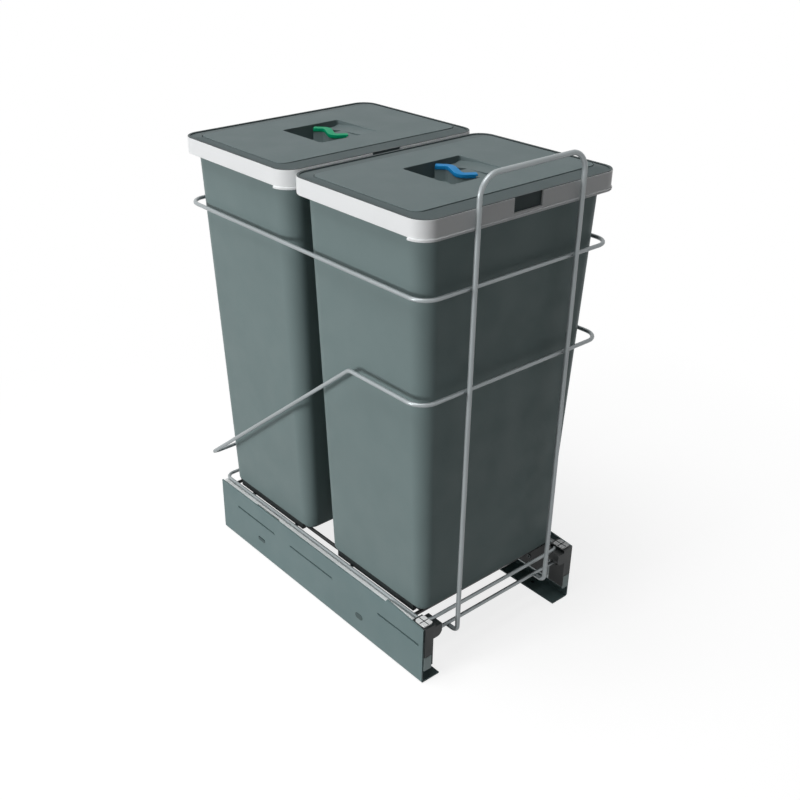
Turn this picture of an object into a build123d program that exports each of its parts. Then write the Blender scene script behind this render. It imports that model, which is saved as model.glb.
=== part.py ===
from build123d import *
import os
from math import pi, sin, cos, tan, radians

os.makedirs("parts", exist_ok=True)

# A pull-out waste unit for a kitchen base cabinet, in millimetres.
# X runs across the cabinet, -Y is the way it pulls out, and Z is up.
# The origin lies on the cabinet floor, midway between the two brackets.
# Setbacks are measured rearwards from the front end of the brackets.

# Driving dimensions: layout
slide_length = 450.0
unit_width = 276.0
slide_level = 42.0
wire_level = 82.5
cut_overrun = 5.0

# Brackets
bracket_height = 85.0
plate_thickness = 2.0
flange_width = 30.0
bend_radius = 3.0
lip_rise = 6.0
lip_length = 68.0
lip_step = 4.0
bead_level = 57.0
bead_width = 2.4
bead_depth = 0.7
bead_start_shares = (0.014, 0.40, 0.70)
bead_length_shares = (0.18, 0.22, 0.21)
fixing_level = 29.5
side_hole_setback = 124.0
side_hole_radius = 3.5
side_slot_setback = 350.0
side_slot_length = 17.0
side_slot_height = 5.5
floor_hole_radius = 3.0
floor_hole_setback = 50.0

# Telescopic slides
slide_height = 45.0
slide_thickness = 12.7
rail_sheet = 1.2
outer_rail_depth = 9.8
outer_race_lip = 2.4
middle_rail_depth = 8.4
middle_race_lip = 2.0
inner_rail_depth = 7.5
outer_ball_radius = 1.8
inner_ball_radius = 1.5
outer_ball_offset = 5.2
inner_ball_offset = 7.5
race_clearance = 0.05
cage_sheet = 0.8
cage_clearance = 0.3
cage_length = 200.0
balls_per_row = 5
buffer_length = 6.0
buffer_height = 22.0
buffer_depth = 6.5
buffer_fit = 0.2

# Carriers that stand the wire frame on the slides
carrier_sheet = 1.5
carrier_skirt = 16.0
carrier_front_setback = 26.0
carrier_rear_setback = 455.0
carrier_edge_clearance = 0.8
carrier_corner = 10.0
carrier_relief_setback = 310.0
carrier_relief_length = 57.0
carrier_relief_depth = 5.0
screw_setbacks = (60.0, 225.0, 400.0)
screw_head_radius = 3.6
screw_head_height = 2.0
screw_shank_radius = 2.0
screw_socket_width = 2.5

# Front couplings and their clips
coupling_width = 28.0
coupling_reach = 2.0
coupling_length = 25.0
coupling_pad_width = 16.6
coupling_pad_rise = 3.8
coupling_round = 8.0
coupling_edge_round = 1.5
coupling_side_clearance = 0.4
coupling_slide_clearance = 0.5
coupling_cheek = 1.2
coupling_cheek_depth = 41.0
coupling_apron_depth = 24.0
wire_block_reach = 2.0
wire_block_length = 9.0
socket_clearance = 0.05
end_gap = 0.3
end_plate_sheet = 1.5
end_plate_height = 20.5
end_plate_tongue = 12.0
tongue_height = 8.0
clip_width = 15.0
clip_length = 18.0
clip_setback = 1.5
clip_edge = 1.5
clip_sheet = 1.4
clip_groove = 0.6
clip_groove_width = 1.4

# Wire frame
heavy_wire_radius = 3.0
light_wire_radius = 2.5
base_ring_overhang = 1.2
base_ring_setback = 12.5
base_ring_corner = 13.0
lower_wire_drop = 21.5
lower_wire_gap = 5.3
ring_side_gap = 3.5
ring_front_gap = 7.4
ring_rear_gap = 6.9
ring_corner = 22.0
upper_ring_level = 517.0
guard_ring_level = 395.0
guard_ring_rear_level = 130.0
guard_bend_setback = 127.0
guard_bend_radius = 12.0
loop_half_width = 81.0
loop_top_level = 638.5
loop_corner = 24.0
loop_foot_bend = 8.0
loop_foot_reach = 19.0
stay_half_width = 81.0
stay_corner = 18.0

# Coated grid that the bins stand on
grid_wire_radius = 2.5
grid_weld_depth = 0.4
grid_inner_run_share = 0.31
grid_outer_run_inset = 9.5
grid_cross_shares = (0.0525, 0.341, 0.62, 0.855, 0.949)

# Bins
rim_overhang_width = 9.9
rim_overhang_depth = 9.8
bin_side_taper = 23.5
bin_end_taper = 9.2
bin_top_corner = 24.0
bin_base_corner = 17.0
bin_wall = 2.2
bin_floor = 2.6
bin_foot_height = 6.0
bin_foot_inset = 5.0
runner_inset = 0.5
runner_clearance = 0.5
bin_rim_level = 584.0
bin_rim_sheet = 2.0
front_bin_setback = 115.8
bin_gap = 6.5

# Bag rings
band_half_width = 152.9
band_half_depth = 112.3
band_corner = 22.5
band_sheet = 2.4
band_height = 19.0
band_fit = 0.4
band_skirt = 1.0
ledge_height = 2.8
ledge_proud = 1.2
shelf_sheet = 2.0
shelf_width = 11.5
skirt_depth = 10.0
skirt_sheet = 1.6
notch_half_width = 22.0

# Lids
lid_sheet = 2.0
lid_fit = 0.5
lid_rise = 2.5
lid_sink = 2.5
lid_border_width = 14.0
lid_slope_width = 9.0
lid_groove_width = 1.4
lid_groove_depth = 0.8
recess_half_width = 45.0
recess_half_depth = 41.0
recess_depth = 20.0
recess_corner = 3.0
grip_width = 8.0
grip_bend = 9.0
grip_drop = 2.2
ramp_start_share = 0.49
ramp_depth = 3.0
ramp_end_depth = 0.6
step_start_share = 0.18
step_end_share = 0.1
step_depth = 4.0
marker_sheet = 4.5
marker_margin = 0.6

# Places worked out from the driving dimensions
front = -slide_length / 2
rear = slide_length / 2
half_width = unit_width / 2
plate_inner = half_width - plate_thickness
flange_inner = half_width - flange_width
inner_rail_face = plate_inner - slide_thickness
bin_top_half_width = band_half_width - rim_overhang_width
bin_top_half_depth = band_half_depth - rim_overhang_depth
bin_base_half_width = bin_top_half_width - bin_side_taper
bin_base_half_depth = bin_top_half_depth - bin_end_taper
bin_pitch = 2 * band_half_depth + ledge_proud + bin_gap
front_bin_middle = front + front_bin_setback
rear_bin_middle = front_bin_middle + bin_pitch
ring_half_width = bin_top_half_width + ring_side_gap + light_wire_radius
ring_front = front_bin_middle - bin_top_half_depth - ring_front_gap - light_wire_radius
ring_rear = rear_bin_middle + bin_top_half_depth + ring_rear_gap + light_wire_radius
base_ring_half_width = inner_rail_face + base_ring_overhang
lower_wire_half_length = inner_rail_face - lower_wire_gap
loop_plane = ring_front - light_wire_radius - heavy_wire_radius
stay_plane = ring_rear + light_wire_radius + heavy_wire_radius
base_front = front + base_ring_setback
base_rear = stay_plane - heavy_wire_radius - light_wire_radius
bin_floor_level = wire_level + grid_wire_radius
bin_body_level = bin_floor_level + bin_foot_height
band_top = bin_rim_level + band_height
sides = (("left", -1), ("right", 1))
bins = (("front", front_bin_middle), ("rear", rear_bin_middle))


def save(piece, name):
    """Label a finished piece and write it as its own file."""
    piece.part.label = name
    export_step(piece.part, "parts/" + name + ".step")


def section_plane(y):
    """A plane across the slides at y: its x runs along X and its y runs up."""
    return Plane(origin=(0, y, 0), x_dir=(1, 0, 0), z_dir=(0, -1, 0))


def side_plane(x):
    """A plane along the slides at x: its x runs along Y and its y runs up."""
    return Plane(origin=(x, 0, 0), x_dir=(0, 1, 0), z_dir=(1, 0, 0))


# Brackets: L sections with a raised lip, pressed beads and fixing holes
for side_name, side in sides:
    with BuildPart() as bracket:
        with BuildSketch(section_plane(front)) as profile:
            with BuildLine():
                Polyline(
                    (side * half_width, 0),
                    (side * half_width, bracket_height),
                    (side * plate_inner, bracket_height),
                    (side * plate_inner, plate_thickness),
                    (side * flange_inner, plate_thickness),
                    (side * flange_inner, 0),
                    close=True,
                )
            make_face()
            fillet(profile.vertices().sort_by_distance((side * half_width, 0))[0], bend_radius)
            fillet(profile.vertices().sort_by_distance((side * plate_inner, plate_thickness))[0],
                   bend_radius - plate_thickness)
        extrude(amount=-slide_length)
        with BuildSketch(side_plane(side * half_width)):
            with BuildLine():
                Polyline(
                    (front, bracket_height),
                    (front + lip_length, bracket_height + lip_rise),
                    (front + lip_length + lip_step, bracket_height),
                    close=True,
                )
            make_face()
        extrude(amount=-side * plate_thickness)
        # Beads pressed into the outer face
        with BuildSketch(side_plane(side * half_width)):
            for start_share, length_share in zip(bead_start_shares, bead_length_shares):
                bead_length = length_share * slide_length
                bead_middle = front + start_share * slide_length + bead_length / 2
                with Locations((bead_middle, bead_level)):
                    SlotOverall(bead_length, bead_width)
        extrude(amount=-side * bead_depth, mode=Mode.SUBTRACT)
        # The round hole and the slot through the upright plate
        with BuildSketch(side_plane(side * plate_inner)):
            with Locations((front + side_hole_setback, fixing_level)):
                Circle(side_hole_radius)
            with Locations((front + side_slot_setback, fixing_level)):
                SlotOverall(side_slot_length, side_slot_height)
        extrude(amount=side * plate_thickness, mode=Mode.SUBTRACT)
        # Floor holes near both ends of the flange
        with BuildSketch(Plane.XY):
            flange_middle = side * (half_width + flange_inner - plate_thickness) / 2
            for hole_y in (front + floor_hole_setback, rear - floor_hole_setback):
                with Locations((flange_middle, hole_y)):
                    Circle(floor_hole_radius)
        extrude(amount=plate_thickness, mode=Mode.SUBTRACT)
    save(bracket, side_name + "_bracket")

# Slide stack, worked inwards from the plate: races, balls and cages
outer_race_half = slide_height / 2 - rail_sheet
outer_ball_level = outer_race_half - race_clearance - outer_ball_radius
middle_half = outer_ball_level - outer_ball_radius - race_clearance
inner_race_half = middle_half - rail_sheet
inner_ball_level = inner_race_half - race_clearance - inner_ball_radius
inner_half = inner_ball_level - inner_ball_radius - race_clearance
outer_cage_start = rail_sheet + cage_clearance
middle_start = outer_cage_start + cage_sheet + cage_clearance
middle_end = middle_start + middle_rail_depth
inner_cage_start = middle_start + rail_sheet + cage_clearance
inner_start = slide_thickness - inner_rail_depth
moving_length = slide_length - buffer_length
slide_middle = front + moving_length / 2
ball_pitch = cage_length / balls_per_row


def inward(side, depth):
    """The X of a point that lies depth inside the upright plate."""
    return side * (plate_inner - depth)


def race_outline(side, web_start, web_end, lip_start, lip_end, half, lip):
    """The upper half of a rail whose flanges end in a lip that keeps the balls in."""
    inside = half - rail_sheet
    return [
        (inward(side, web_start), 0),
        (inward(side, web_start), half),
        (inward(side, lip_end), half),
        (inward(side, lip_end), inside - lip),
        (inward(side, lip_start), inside - lip),
        (inward(side, lip_start), inside),
        (inward(side, web_end), inside),
        (inward(side, web_end), 0),
    ]


def channel_outline(side, web_start, web_end, flange_end, half, sheet):
    """The upper half of a plain channel."""
    return [
        (inward(side, web_start), 0),
        (inward(side, web_start), half),
        (inward(side, flange_end), half),
        (inward(side, flange_end), half - sheet),
        (inward(side, web_end), half - sheet),
        (inward(side, web_end), 0),
    ]


def slide_section(start, length, half_outline):
    """A slide member: half an outline mirrored about the slide's centre line."""
    start_plane = section_plane(start)
    start_plane.origin = Vector(0, start, slide_level)
    with BuildPart() as member:
        with BuildSketch(start_plane):
            with BuildLine():
                Polyline(half_outline, close=True)
            make_face()
            mirror(about=Plane.XZ)
        extrude(amount=-length)
    return member


def ball_spots(cage_middle):
    """The Y of each ball in a row that is centred on the cage."""
    first = cage_middle - ball_pitch * (balls_per_row - 1) / 2
    return [first + number * ball_pitch for number in range(balls_per_row)]


def ball_set(side, offset, level, radius):
    """Both rows of balls between two rails, as one set of loose balls."""
    with BuildPart() as balls:
        for row in (-1, 1):
            for spot in ball_spots(slide_middle):
                with Locations((inward(side, offset), spot, slide_level + row * level)):
                    Sphere(radius)
    return balls


def ball_cage(side, web_start, flange_end, offset, level, radius):
    """A channel that keeps both rows of balls apart, with a pocket for each ball."""
    half = level + cage_sheet / 2
    outline = channel_outline(side, web_start, web_start + cage_sheet, flange_end, half, cage_sheet)
    with BuildPart() as cage:
        add(slide_section(slide_middle - cage_length / 2, cage_length, outline).part)
        with BuildSketch(Plane.XY.offset(slide_level - half)):
            for spot in ball_spots(slide_middle):
                with Locations((inward(side, offset), spot)):
                    Circle(radius + cage_clearance / 2)
        extrude(amount=2 * half, mode=Mode.SUBTRACT)
    return cage


for side_name, side in sides:
    save(slide_section(front, slide_length, race_outline(
        side, 0, rail_sheet, outer_rail_depth - rail_sheet, outer_rail_depth,
        slide_height / 2, outer_race_lip)), side_name + "_outer_rail")
    save(slide_section(front, moving_length, race_outline(
        side, middle_start, middle_start + rail_sheet, middle_end - rail_sheet, middle_end,
        middle_half, middle_race_lip)), side_name + "_middle_rail")
    save(slide_section(front, moving_length, channel_outline(
        side, slide_thickness, slide_thickness - rail_sheet, inner_start,
        inner_half, rail_sheet)), side_name + "_inner_rail")
    save(ball_cage(
        side, outer_cage_start, outer_rail_depth - rail_sheet - cage_clearance,
        outer_ball_offset, outer_ball_level, outer_ball_radius), side_name + "_outer_ball_cage")
    save(ball_cage(
        side, inner_cage_start, middle_end - rail_sheet - cage_clearance,
        inner_ball_offset, inner_ball_level, inner_ball_radius), side_name + "_inner_ball_cage")
    save(ball_set(side, outer_ball_offset, outer_ball_level, outer_ball_radius), side_name + "_outer_balls")
    save(ball_set(side, inner_ball_offset, inner_ball_level, inner_ball_radius), side_name + "_inner_balls")
    # Rubber buffer between the races at the rear end of the fixed rail
    with BuildPart() as buffer:
        with BuildSketch(section_plane(rear - buffer_length + buffer_fit)):
            with Locations((inward(side, rail_sheet + buffer_depth / 2), slide_level)):
                RectangleRounded(buffer_depth, buffer_height, bend_radius)
        extrude(amount=-(buffer_length - buffer_fit))
    save(buffer, side_name + "_buffer")

# Carriers: a web on the inner rail and a flange that the base ring lies on
seat_level = wire_level - light_wire_radius
carrier_start = front + carrier_front_setback
carrier_end = front + carrier_rear_setback
edge_x = plate_inner - carrier_edge_clearance
web_bottom = slide_level - carrier_skirt

for side_name, side in sides:
    with BuildPart() as carrier:
        with BuildSketch(section_plane(carrier_start)):
            with BuildLine():
                Polyline(
                    (side * inner_rail_face, web_bottom),
                    (side * inner_rail_face, seat_level - carrier_sheet),
                    (side * edge_x, seat_level - carrier_sheet),
                    (side * edge_x, seat_level),
                    (side * (inner_rail_face - carrier_sheet), seat_level),
                    (side * (inner_rail_face - carrier_sheet), web_bottom),
                    close=True,
                )
            make_face()
        extrude(amount=carrier_start - carrier_end)
        upright_edges = carrier.edges().filter_by(Axis.Z)
        fillet(upright_edges.sort_by_distance((side * edge_x, carrier_end, seat_level))[0], carrier_corner)
        # Relief cut in the flange's outer edge
        with BuildSketch(Plane.XY.offset(seat_level - carrier_sheet)):
            with Locations((side * (edge_x + (cut_overrun - carrier_relief_depth) / 2),
                            front + carrier_relief_setback + carrier_relief_length / 2)):
                RectangleRounded(carrier_relief_depth + cut_overrun, carrier_relief_length, bend_radius)
        extrude(amount=carrier_sheet, mode=Mode.SUBTRACT)
        # Clearance holes for the screws into the inner rail
        with BuildSketch(side_plane(side * inner_rail_face)):
            for setback in screw_setbacks:
                with Locations((front + setback, slide_level)):
                    Circle(screw_shank_radius)
        extrude(amount=-side * carrier_sheet, mode=Mode.SUBTRACT)
    save(carrier, side_name + "_carrier")

    with BuildPart() as screws:
        with BuildSketch(side_plane(side * (inner_rail_face - carrier_sheet))):
            for setback in screw_setbacks:
                with Locations((front + setback, slide_level)):
                    Circle(screw_head_radius)
        extrude(amount=-side * screw_head_height)
        fillet(screws.edges().filter_by(GeomType.CIRCLE).group_by(Axis.X)[-1 if side < 0 else 0],
               screw_head_height / 2)
        with BuildSketch(side_plane(side * (inner_rail_face - carrier_sheet - screw_head_height))):
            for setback in screw_setbacks:
                with Locations((front + setback, slide_level)):
                    RegularPolygon(screw_socket_width / 2, 6, major_radius=False)
        extrude(amount=side * screw_head_height / 2, mode=Mode.SUBTRACT)
        with BuildSketch(side_plane(side * (inner_rail_face - carrier_sheet))):
            for setback in screw_setbacks:
                with Locations((front + setback, slide_level)):
                    Circle(screw_shank_radius)
        extrude(amount=side * carrier_sheet)
    save(screws, side_name + "_carrier_screws")


# Wires: round bar swept along straight runs joined by bends
def swept_wire(path, radius):
    """A round wire along a path, starting square to its first run."""
    with BuildPart() as piece:
        with BuildSketch(Plane(origin=path @ 0, z_dir=path % 0)):
            Circle(radius)
        sweep(path=path)
    return piece


def level_ring(half, ring_start, ring_end, level, corner, radius):
    """A closed rounded rectangle of wire, lying level."""
    with BuildLine() as path:
        Line((0, ring_start, level), (half - corner, ring_start, level))
        RadiusArc((half - corner, ring_start, level), (half, ring_start + corner, level), -corner)
        Line((half, ring_start + corner, level), (half, ring_end - corner, level))
        RadiusArc((half, ring_end - corner, level), (half - corner, ring_end, level), -corner)
        Line((half - corner, ring_end, level), (0, ring_end, level))
        mirror(about=Plane.YZ)
    return swept_wire(path.wire(), radius)


base_ring = level_ring(base_ring_half_width, base_front, base_rear, wire_level,
                       base_ring_corner, light_wire_radius)
save(base_ring, "base_ring")

upper_ring = level_ring(ring_half_width, ring_front, ring_rear, upper_ring_level,
                        ring_corner, light_wire_radius)
save(upper_ring, "upper_ring")

# The guard ring is level round the front bin and slopes down behind the bend
with BuildLine() as guard_path:
    FilletPolyline(
        (0, ring_front, guard_ring_level),
        (ring_half_width, ring_front, guard_ring_level),
        (ring_half_width, front + guard_bend_setback, guard_ring_level),
        (ring_half_width, ring_rear, guard_ring_rear_level),
        (0, ring_rear, guard_ring_rear_level),
        radius=[ring_corner, guard_bend_radius, ring_corner],
    )
    mirror(about=Plane.YZ)
guard_ring = swept_wire(guard_path.wire(), light_wire_radius)
save(guard_ring, "guard_ring")

# The lower front wire, below the base ring's front run
lower_wire_level = wire_level - lower_wire_drop
with BuildPart() as lower_wire:
    with BuildSketch(Plane.YZ.offset(-lower_wire_half_length)):
        with Locations((base_front, lower_wire_level)):
            Circle(light_wire_radius)
    extrude(amount=2 * lower_wire_half_length)
save(lower_wire, "lower_front_wire")

# The front loop carries the cabinet front, with feet bent back under the lower wire
foot_level = lower_wire_level - light_wire_radius - heavy_wire_radius
with BuildLine() as loop_path:
    FilletPolyline(
        (-loop_half_width, loop_plane + loop_foot_reach, foot_level),
        (-loop_half_width, loop_plane, foot_level),
        (-loop_half_width, loop_plane, loop_top_level),
        (loop_half_width, loop_plane, loop_top_level),
        (loop_half_width, loop_plane, foot_level),
        (loop_half_width, loop_plane + loop_foot_reach, foot_level),
        radius=[loop_foot_bend, loop_corner, loop_corner, loop_foot_bend],
    )
front_loop = swept_wire(loop_path.wire(), heavy_wire_radius)
save(front_loop, "front_loop")

# The rear stay stands on the base ring and holds both upper rings from behind
with BuildLine() as stay_path:
    FilletPolyline(
        (-stay_half_width, stay_plane, wire_level),
        (-stay_half_width, stay_plane, upper_ring_level),
        (stay_half_width, stay_plane, upper_ring_level),
        (stay_half_width, stay_plane, wire_level),
        radius=[stay_corner, stay_corner],
    )
rear_stay = swept_wire(stay_path.wire(), heavy_wire_radius)
save(rear_stay, "rear_stay")

# The coated grid: runs from front to rear on cross bars that end at the carriers' webs
web_inner_face = inner_rail_face - carrier_sheet
outer_run = bin_base_half_width - grid_outer_run_inset
inner_run = grid_inner_run_share * bin_base_half_width
cross_level = wire_level - 2 * grid_wire_radius + grid_weld_depth
cross_spots = [base_front + share * (base_rear - base_front) for share in grid_cross_shares]
with BuildPart() as bin_grid:
    with BuildSketch(Plane.YZ.offset(-web_inner_face)):
        for spot in cross_spots:
            with Locations((spot, cross_level)):
                Circle(grid_wire_radius)
    extrude(amount=2 * web_inner_face)
    with BuildSketch(section_plane(cross_spots[0])):
        for run_x in (-outer_run, -inner_run, inner_run, outer_run):
            with Locations((run_x, wire_level)):
                Circle(grid_wire_radius)
    extrude(amount=cross_spots[0] - cross_spots[-1])
save(bin_grid, "bin_grid")

# Front couplings: moulded blocks round the ring's front corners and the lower wire
coupling_outer = plate_inner - coupling_side_clearance
coupling_inner = coupling_outer - coupling_width
coupling_start = front - coupling_reach
coupling_bottom = slide_level + slide_height / 2 + coupling_slide_clearance
pad_top = wire_level + coupling_pad_rise
pad_inner = coupling_outer - coupling_pad_width
cheek_inner = inner_rail_face - end_gap - coupling_cheek
wire_block_start = lower_wire_half_length - wire_block_reach
end_plate_bottom = slide_level - slide_height / 2
end_plate_top = end_plate_bottom + end_plate_height

for side_name, side in sides:
    with BuildPart() as coupling:
        with BuildSketch(section_plane(coupling_start)):
            with BuildLine():
                Polyline(
                    (side * coupling_inner, coupling_bottom),
                    (side * coupling_inner, wire_level),
                    (side * pad_inner, wire_level),
                    (side * pad_inner, pad_top),
                    (side * coupling_outer, pad_top),
                    (side * coupling_outer, coupling_bottom),
                    close=True,
                )
            make_face()
        extrude(amount=-coupling_length)
        long_edges = coupling.edges().filter_by(Axis.Y)
        fillet(long_edges.sort_by_distance((side * coupling_inner, coupling_start, coupling_bottom))[0],
               coupling_round)
        fillet(long_edges.sort_by_distance((side * coupling_outer, coupling_start, pad_top))[0],
               coupling_edge_round)
        # Apron in front of the slide's upper half
        with BuildSketch(section_plane(coupling_start)):
            with Locations((side * (cheek_inner + coupling_outer) / 2,
                            coupling_bottom - coupling_apron_depth / 2)):
                Rectangle(coupling_outer - cheek_inner, coupling_apron_depth)
        extrude(amount=-(coupling_reach - end_gap))
        # Cheek beside the inner rail
        with BuildSketch(section_plane(coupling_start)):
            with Locations((side * (cheek_inner + coupling_cheek / 2),
                            coupling_bottom - coupling_cheek_depth / 2)):
                Rectangle(coupling_cheek, coupling_cheek_depth)
        extrude(amount=-coupling_length)
        # Block that the end of the lower wire is pressed into
        block_bottom = lower_wire_level - light_wire_radius - coupling_cheek
        with BuildSketch(section_plane(base_front - wire_block_length / 2)):
            with Locations((side * (wire_block_start + cheek_inner) / 2,
                            (block_bottom + coupling_bottom) / 2)):
                Rectangle(cheek_inner - wire_block_start, coupling_bottom - block_bottom)
        extrude(amount=-wire_block_length)
        with BuildSketch(Plane.YZ.offset(side * wire_block_start)):
            with Locations((base_front, lower_wire_level)):
                Circle(light_wire_radius + socket_clearance)
        extrude(amount=side * (wire_block_reach + socket_clearance), mode=Mode.SUBTRACT)
        add(level_ring(base_ring_half_width, base_front, base_rear, wire_level, base_ring_corner,
                       light_wire_radius + socket_clearance).part, mode=Mode.SUBTRACT)
    save(coupling, side_name + "_front_coupling")

    # End plate that closes the front of the inner rail, with a tongue on the rail's web
    slide_centre_x = side * (plate_inner - slide_thickness / 2)
    with BuildPart() as end_plate:
        with BuildSketch(section_plane(front - end_gap)):
            with Locations((slide_centre_x, (end_plate_bottom + end_plate_top) / 2)):
                Rectangle(slide_thickness - 2 * end_gap, end_plate_height)
        extrude(amount=end_plate_sheet)
        with BuildSketch(section_plane(front - end_gap)):
            with Locations((side * (inner_rail_face + rail_sheet + end_plate_sheet / 2),
                            end_plate_top - tongue_height / 2)):
                Rectangle(end_plate_sheet, tongue_height)
        extrude(amount=-end_plate_tongue)
    save(end_plate, side_name + "_end_plate")

    # Sheet clip pressed on top of the coupling, with two crossing grooves
    clip_middle = side * (plate_inner - clip_edge - clip_width / 2)
    clip_centre_y = front + clip_setback + clip_length / 2
    with BuildPart() as clip:
        with BuildSketch(Plane.XY.offset(pad_top)):
            with Locations((clip_middle, clip_centre_y)):
                RectangleRounded(clip_width, clip_length, bend_radius)
        extrude(amount=clip_sheet)
        with BuildSketch(Plane.XY.offset(pad_top + clip_sheet)):
            with Locations((clip_middle, clip_centre_y)):
                Rectangle(clip_width, clip_groove_width)
                Rectangle(clip_groove_width, clip_length)
        extrude(amount=-clip_groove, mode=Mode.SUBTRACT)
    save(clip, side_name + "_coupling_clip")


# Bins: tapered tubs with a flat rim and a set-in foot
def rounded_layer(centre_y, level, half_x, half_y, corner):
    """A rounded rectangle drawn level, centred on one bin."""
    with BuildSketch(Plane.XY.offset(level)) as layer:
        with Locations((0, centre_y)):
            RectangleRounded(2 * half_x, 2 * half_y, corner)
    return layer.sketch


rim_half_width = band_half_width - band_sheet - band_fit
rim_half_depth = band_half_depth - band_sheet - band_fit
rim_corner = band_corner - band_sheet - band_fit
runner_inner = outer_run + grid_wire_radius + runner_clearance
runner_outer = bin_base_half_width - runner_inset
runner_bottom = cross_level + grid_wire_radius + runner_clearance

for bin_name, centre_y in bins:
    with BuildPart() as tub:
        loft([
            rounded_layer(centre_y, bin_body_level, bin_base_half_width, bin_base_half_depth,
                          bin_base_corner),
            rounded_layer(centre_y, bin_rim_level - bin_rim_sheet, bin_top_half_width, bin_top_half_depth,
                          bin_top_corner),
        ], ruled=True)
        add(rounded_layer(centre_y, bin_rim_level - bin_rim_sheet, rim_half_width, rim_half_depth,
                          rim_corner))
        extrude(amount=bin_rim_sheet)
        add(rounded_layer(centre_y, bin_floor_level, bin_base_half_width - bin_foot_inset,
                          bin_base_half_depth - bin_foot_inset, bin_base_corner - bin_foot_inset))
        extrude(amount=bin_foot_height)
        # Two runners under the sides, outside the grid's outer runs
        with BuildSketch(Plane.XY.offset(runner_bottom)):
            for side in (-1, 1):
                with Locations((side * (runner_inner + runner_outer) / 2, centre_y)):
                    Rectangle(runner_outer - runner_inner, 2 * (bin_base_half_depth - bin_base_corner))
        extrude(amount=bin_body_level - runner_bottom)
        loft([
            rounded_layer(centre_y, bin_body_level + bin_wall, bin_base_half_width - bin_wall,
                          bin_base_half_depth - bin_wall, bin_base_corner - bin_wall),
            rounded_layer(centre_y, bin_rim_level, bin_top_half_width - bin_wall,
                          bin_top_half_depth - bin_wall, bin_top_corner - bin_wall),
        ], ruled=True, mode=Mode.SUBTRACT)
        add(rounded_layer(centre_y, bin_floor_level + bin_floor,
                          bin_base_half_width - bin_foot_inset - bin_wall,
                          bin_base_half_depth - bin_foot_inset - bin_wall,
                          bin_base_corner - bin_foot_inset - bin_wall))
        extrude(amount=bin_foot_height + bin_wall - bin_floor, mode=Mode.SUBTRACT)
    save(tub, bin_name + "_bin")

    # Bag ring: an outer band, a shelf on the rim and a skirt inside the tub
    with BuildPart() as bag_ring:
        add(rounded_layer(centre_y, bin_rim_level - band_skirt, band_half_width, band_half_depth,
                          band_corner))
        extrude(amount=band_height + band_skirt)
        # Ledge under the band's front and its front corners
        add(rounded_layer(centre_y, bin_rim_level - band_skirt - ledge_height,
                          band_half_width + ledge_proud, band_half_depth + ledge_proud,
                          band_corner + ledge_proud))
        extrude(amount=ledge_height)
        with BuildSketch(Plane.XY.offset(bin_rim_level - band_skirt - ledge_height)):
            with Locations((0, centre_y + band_corner)):
                Rectangle(2 * (band_half_width + band_corner), 2 * band_half_depth)
        extrude(amount=ledge_height, mode=Mode.SUBTRACT)
        add(rounded_layer(centre_y, bin_rim_level - band_skirt - ledge_height,
                          band_half_width - band_sheet, band_half_depth - band_sheet,
                          band_corner - band_sheet))
        extrude(amount=band_skirt + ledge_height, mode=Mode.SUBTRACT)
        add(rounded_layer(centre_y, bin_rim_level + shelf_sheet,
                          band_half_width - band_sheet, band_half_depth - band_sheet,
                          band_corner - band_sheet))
        extrude(amount=band_height, mode=Mode.SUBTRACT)
        opening_half_width = band_half_width - band_sheet - shelf_width
        opening_half_depth = band_half_depth - band_sheet - shelf_width
        opening_corner = band_corner - band_sheet
        add(rounded_layer(centre_y, bin_rim_level, opening_half_width, opening_half_depth, opening_corner))
        extrude(amount=shelf_sheet, mode=Mode.SUBTRACT)
        add(rounded_layer(centre_y, bin_rim_level - skirt_depth, opening_half_width, opening_half_depth,
                          opening_corner))
        extrude(amount=skirt_depth + shelf_sheet)
        add(rounded_layer(centre_y, bin_rim_level - skirt_depth, opening_half_width - skirt_sheet,
                          opening_half_depth - skirt_sheet, opening_corner - skirt_sheet))
        extrude(amount=skirt_depth + shelf_sheet, mode=Mode.SUBTRACT)
        with BuildSketch(section_plane(centre_y - band_half_depth - ledge_proud)):
            with Locations((0, bin_rim_level + shelf_sheet + band_height / 2)):
                Rectangle(2 * notch_half_width, band_height)
        extrude(amount=-(band_sheet + ledge_proud), mode=Mode.SUBTRACT)
    save(bag_ring, bin_name + "_bag_ring")


# Lids: a flat panel with sloping margins, a skirt inside the band and a grip recess
lid_top = band_top + lid_rise
lid_edge = band_top - lid_sink
lid_seat = bin_rim_level + shelf_sheet
lid_half_width = band_half_width - band_sheet - lid_fit
lid_half_depth = band_half_depth - band_sheet - lid_fit
lid_corner = band_corner - band_sheet - lid_fit
foot_half_width = lid_half_width - lid_border_width
foot_half_depth = lid_half_depth - lid_border_width
panel_half_width = foot_half_width - lid_slope_width
panel_half_depth = foot_half_depth - lid_slope_width
panel_corner = lid_corner / 2
recess_floor = lid_top - recess_depth
grip_top = lid_top - grip_drop
marker_seat = grip_top - marker_sheet
ramp_start = ramp_start_share * recess_half_width
step_start = step_start_share * recess_half_width
step_end = step_end_share * recess_half_depth

# The grip is an S in plan, from the recess's rear wall to near its front wall
grip_point_shares = ((0.02, 0.86), (0.28, 0.54), (-0.09, -0.25), (0.28, -0.52))


def grip_outline(centre_y, width, level):
    """The S of the grip in plan, as a band of the given width."""
    points = [(share_x * recess_half_width, centre_y + share_y * recess_half_depth)
              for share_x, share_y in grip_point_shares]
    with BuildSketch(Plane.XY.offset(level)) as outline:
        with BuildLine():
            FilletPolyline(points, radius=grip_bend)
        trace(line_width=width)
    return outline.sketch


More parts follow.
